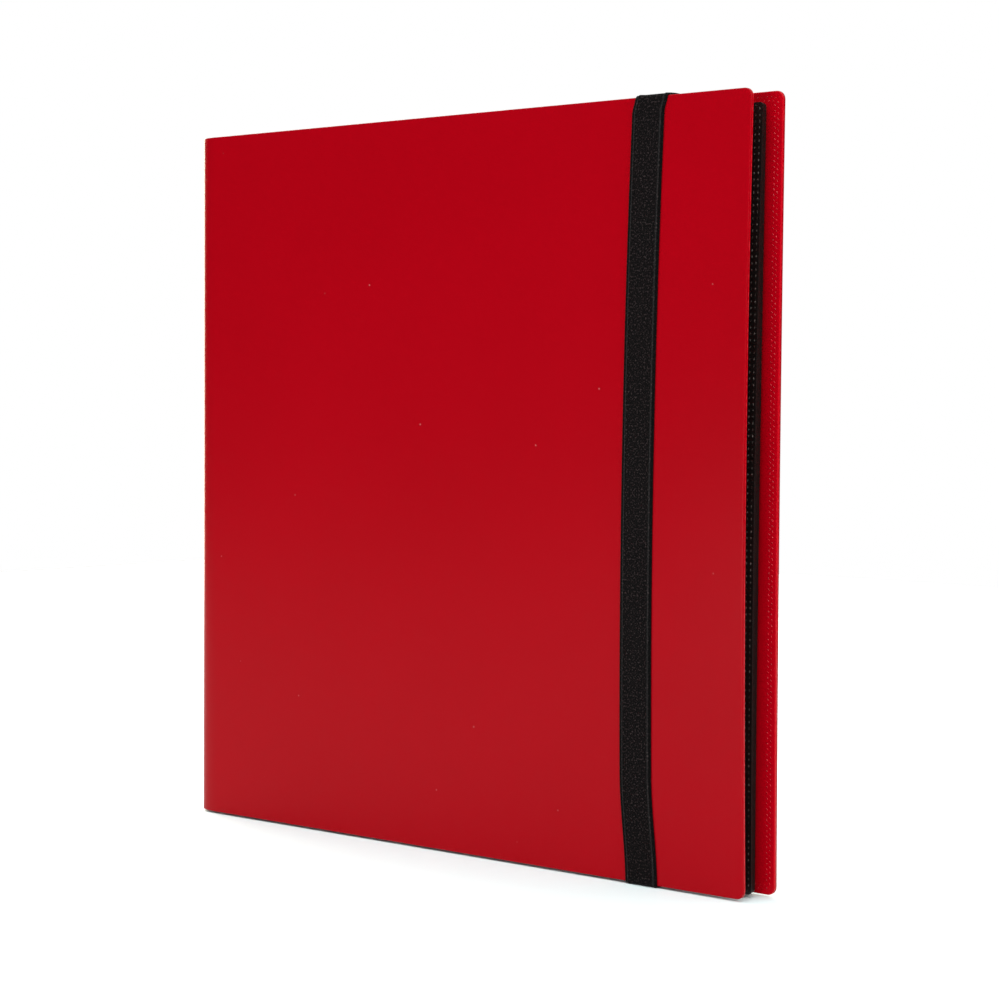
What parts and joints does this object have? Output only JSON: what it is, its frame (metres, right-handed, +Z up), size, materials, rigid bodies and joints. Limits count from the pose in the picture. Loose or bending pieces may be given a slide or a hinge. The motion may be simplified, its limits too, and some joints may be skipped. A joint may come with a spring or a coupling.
{
  "type": "trading card binder",
  "caption": "Square binder for trading cards: two stiff covers on a rolled flexible spine, side-loading clear pocket leaves bound between them, and an elastic strap that holds it shut.",
  "frame": {"origin": "centre of the bottom of the box of the closed binder, level with the underside of the strap that it stands on", "axes": "+Z up the binder's height, +X from the spine to the fore edge, +Y from the front cover to the back cover"},
  "size_m": [0.33, 0.026, 0.332],
  "materials": {
    "cover_red": "satin",
    "cover_board": "matte",
    "page_black": "satin",
    "pocket_film": "gloss",
    "strap_elastic": "matte"
  },
  "bodies": {
    "back_cover": {"back_outer_skin": "cover_red", "back_board": "cover_board", "back_liner": "cover_red", "strap_tail_upper": "strap_elastic", "strap_tail_lower": "strap_elastic"},
    "spine": {"spine_skin": "cover_red", "spine_stiffener": "cover_board", "spine_liner": "cover_red", "back_hinge_web": "cover_red", "front_hinge_web": "cover_red", "page_binding_strip": "page_black", "leaf_gutters": "page_black"},
    "front_cover": {"front_outer_skin": "cover_red", "front_board": "cover_board", "front_liner": "cover_red"},
    "leaf_01": {"leaf_01_sheet": "page_black", "leaf_01_pockets": "pocket_film"},
    "leaf_02": {"leaf_02_sheet": "page_black", "leaf_02_pockets": "pocket_film"},
    "leaf_03": {"leaf_03_sheet": "page_black", "leaf_03_pockets": "pocket_film"},
    "leaf_04": {"leaf_04_sheet": "page_black", "leaf_04_pockets": "pocket_film"},
    "leaf_05": {"leaf_05_sheet": "page_black", "leaf_05_pockets": "pocket_film"},
    "leaf_06": {"leaf_06_sheet": "page_black", "leaf_06_pockets": "pocket_film"},
    "leaf_07": {"leaf_07_sheet": "page_black", "leaf_07_pockets": "pocket_film"},
    "leaf_08": {"leaf_08_sheet": "page_black", "leaf_08_pockets": "pocket_film"},
    "leaf_09": {"leaf_09_sheet": "page_black", "leaf_09_pockets": "pocket_film"},
    "leaf_10": {"leaf_10_sheet": "page_black", "leaf_10_pockets": "pocket_film"},
    "leaf_11": {"leaf_11_sheet": "page_black", "leaf_11_pockets": "pocket_film"},
    "leaf_12": {"leaf_12_sheet": "page_black", "leaf_12_pockets": "pocket_film"},
    "leaf_13": {"leaf_13_sheet": "page_black", "leaf_13_pockets": "pocket_film"},
    "leaf_14": {"leaf_14_sheet": "page_black", "leaf_14_pockets": "pocket_film"},
    "leaf_15": {"leaf_15_sheet": "page_black", "leaf_15_pockets": "pocket_film"},
    "leaf_16": {"leaf_16_sheet": "page_black", "leaf_16_pockets": "pocket_film"},
    "leaf_17": {"leaf_17_sheet": "page_black", "leaf_17_pockets": "pocket_film"},
    "leaf_18": {"leaf_18_sheet": "page_black", "leaf_18_pockets": "pocket_film"},
    "leaf_19": {"leaf_19_sheet": "page_black", "leaf_19_pockets": "pocket_film"},
    "leaf_20": {"leaf_20_sheet": "page_black", "leaf_20_pockets": "pocket_film"},
    "strap": {"elastic_strap": "strap_elastic"}
  },
  "joints": [
    {"name": "spine_hinge", "type": "hinge", "parent": "back_cover", "child": "spine", "pos_m": [-0.16269, 0.00969, 0.166], "axis": [0, 0, -1], "range_deg": [0, 90], "deforming": ["back_hinge_web", "leaf_gutters"]},
    {"name": "front_hinge", "type": "hinge", "parent": "spine", "child": "front_cover", "pos_m": [-0.16269, -0.01069, 0.166], "axis": [0, 0, -1], "range_deg": [0, 91.29], "deforming": ["front_hinge_web"]},
    {"name": "strap_slide", "type": "slide", "parent": "back_cover", "child": "strap", "axis": [1, 0, 0], "range_m": [0, 0.07], "deforming": ["elastic_strap"]},
    {"name": "leaf_01_turn", "type": "hinge", "parent": "spine", "child": "leaf_01", "pos_m": [-0.1622, -0.00477, 0.16375], "axis": [0, 0, -1], "range_deg": [0, 85.01]},
    {"name": "leaf_02_turn", "type": "hinge", "parent": "spine", "child": "leaf_02", "pos_m": [-0.1622, -0.00432, 0.16375], "axis": [0, 0, -1], "range_deg": [0, 76.06]},
    {"name": "leaf_03_turn", "type": "hinge", "parent": "spine", "child": "leaf_03", "pos_m": [-0.1622, -0.00387, 0.16375], "axis": [0, 0, -1], "range_deg": [0, 67.11]},
    {"name": "leaf_04_turn", "type": "hinge", "parent": "spine", "child": "leaf_04", "pos_m": [-0.1622, -0.00343, 0.16375], "axis": [0, 0, -1], "range_deg": [0, 58.17]},
    {"name": "leaf_05_turn", "type": "hinge", "parent": "spine", "child": "leaf_05", "pos_m": [-0.1622, -0.00298, 0.16375], "axis": [0, 0, -1], "range_deg": [0, 49.22]},
    {"name": "leaf_06_turn", "type": "hinge", "parent": "spine", "child": "leaf_06", "pos_m": [-0.1622, -0.00252, 0.16375], "axis": [0, 0, -1], "range_deg": [0, 40.27]},
    {"name": "leaf_07_turn", "type": "hinge", "parent": "spine", "child": "leaf_07", "pos_m": [-0.1622, -0.00208, 0.16375], "axis": [0, 0, -1], "range_deg": [0, 31.33]},
    {"name": "leaf_08_turn", "type": "hinge", "parent": "spine", "child": "leaf_08", "pos_m": [-0.1622, -0.00162, 0.16375], "axis": [0, 0, -1], "range_deg": [0, 22.38]},
    {"name": "leaf_09_turn", "type": "hinge", "parent": "spine", "child": "leaf_09", "pos_m": [-0.1622, -0.00118, 0.16375], "axis": [0, 0, -1], "range_deg": [0, 13.43]},
    {"name": "leaf_10_turn", "type": "hinge", "parent": "spine", "child": "leaf_10", "pos_m": [-0.1622, -0.00072, 0.16375], "axis": [0, 0, -1], "range_deg": [0, 4.48]},
    {"name": "leaf_11_turn", "type": "hinge", "parent": "spine", "child": "leaf_11", "pos_m": [-0.1622, -0.00028, 0.16375], "axis": [0, 0, -1], "range_deg": [-4.48, 0]},
    {"name": "leaf_12_turn", "type": "hinge", "parent": "spine", "child": "leaf_12", "pos_m": [-0.1622, 0.00017, 0.16375], "axis": [0, 0, -1], "range_deg": [-13.43, 0]},
    {"name": "leaf_13_turn", "type": "hinge", "parent": "spine", "child": "leaf_13", "pos_m": [-0.1622, 0.00063, 0.16375], "axis": [0, 0, -1], "range_deg": [-22.38, 0]},
    {"name": "leaf_14_turn", "type": "hinge", "parent": "spine", "child": "leaf_14", "pos_m": [-0.1622, 0.00108, 0.16375], "axis": [0, 0, -1], "range_deg": [-31.33, 0]},
    {"name": "leaf_15_turn", "type": "hinge", "parent": "spine", "child": "leaf_15", "pos_m": [-0.1622, 0.00153, 0.16375], "axis": [0, 0, -1], "range_deg": [-40.27, 0]},
    {"name": "leaf_16_turn", "type": "hinge", "parent": "spine", "child": "leaf_16", "pos_m": [-0.1622, 0.00198, 0.16375], "axis": [0, 0, -1], "range_deg": [-49.22, 0]},
    {"name": "leaf_17_turn", "type": "hinge", "parent": "spine", "child": "leaf_17", "pos_m": [-0.1622, 0.00243, 0.16375], "axis": [0, 0, -1], "range_deg": [-58.17, 0]},
    {"name": "leaf_18_turn", "type": "hinge", "parent": "spine", "child": "leaf_18", "pos_m": [-0.1622, 0.00287, 0.16375], "axis": [0, 0, -1], "range_deg": [-67.11, 0]},
    {"name": "leaf_19_turn", "type": "hinge", "parent": "spine", "child": "leaf_19", "pos_m": [-0.1622, 0.00332, 0.16375], "axis": [0, 0, -1], "range_deg": [-76.06, 0]},
    {"name": "leaf_20_turn", "type": "hinge", "parent": "spine", "child": "leaf_20", "pos_m": [-0.1622, 0.00378, 0.16375], "axis": [0, 0, -1], "range_deg": [-85.01, 0]}
  ],
  "couplings": [
    {"joint": "leaf_01_turn", "follows": "front_hinge", "ratio": 0.93105},
    {"joint": "leaf_02_turn", "follows": "front_hinge", "ratio": 0.83305},
    {"joint": "leaf_03_turn", "follows": "front_hinge", "ratio": 0.73504},
    {"joint": "leaf_04_turn", "follows": "front_hinge", "ratio": 0.63703},
    {"joint": "leaf_05_turn", "follows": "front_hinge", "ratio": 0.53903},
    {"joint": "leaf_06_turn", "follows": "front_hinge", "ratio": 0.44102},
    {"joint": "leaf_07_turn", "follows": "front_hinge", "ratio": 0.34302},
    {"joint": "leaf_08_turn", "follows": "front_hinge", "ratio": 0.24501},
    {"joint": "leaf_09_turn", "follows": "front_hinge", "ratio": 0.14701},
    {"joint": "leaf_10_turn", "follows": "front_hinge", "ratio": 0.049003},
    {"joint": "leaf_11_turn", "follows": "spine_hinge", "ratio": -0.049708},
    {"joint": "leaf_12_turn", "follows": "spine_hinge", "ratio": -0.14912},
    {"joint": "leaf_13_turn", "follows": "spine_hinge", "ratio": -0.24854},
    {"joint": "leaf_14_turn", "follows": "spine_hinge", "ratio": -0.34795},
    {"joint": "leaf_15_turn", "follows": "spine_hinge", "ratio": -0.44737},
    {"joint": "leaf_16_turn", "follows": "spine_hinge", "ratio": -0.54678},
    {"joint": "leaf_17_turn", "follows": "spine_hinge", "ratio": -0.6462},
    {"joint": "leaf_18_turn", "follows": "spine_hinge", "ratio": -0.74561},
    {"joint": "leaf_19_turn", "follows": "spine_hinge", "ratio": -0.84503},
    {"joint": "leaf_20_turn", "follows": "spine_hinge", "ratio": -0.94444}
  ]
}
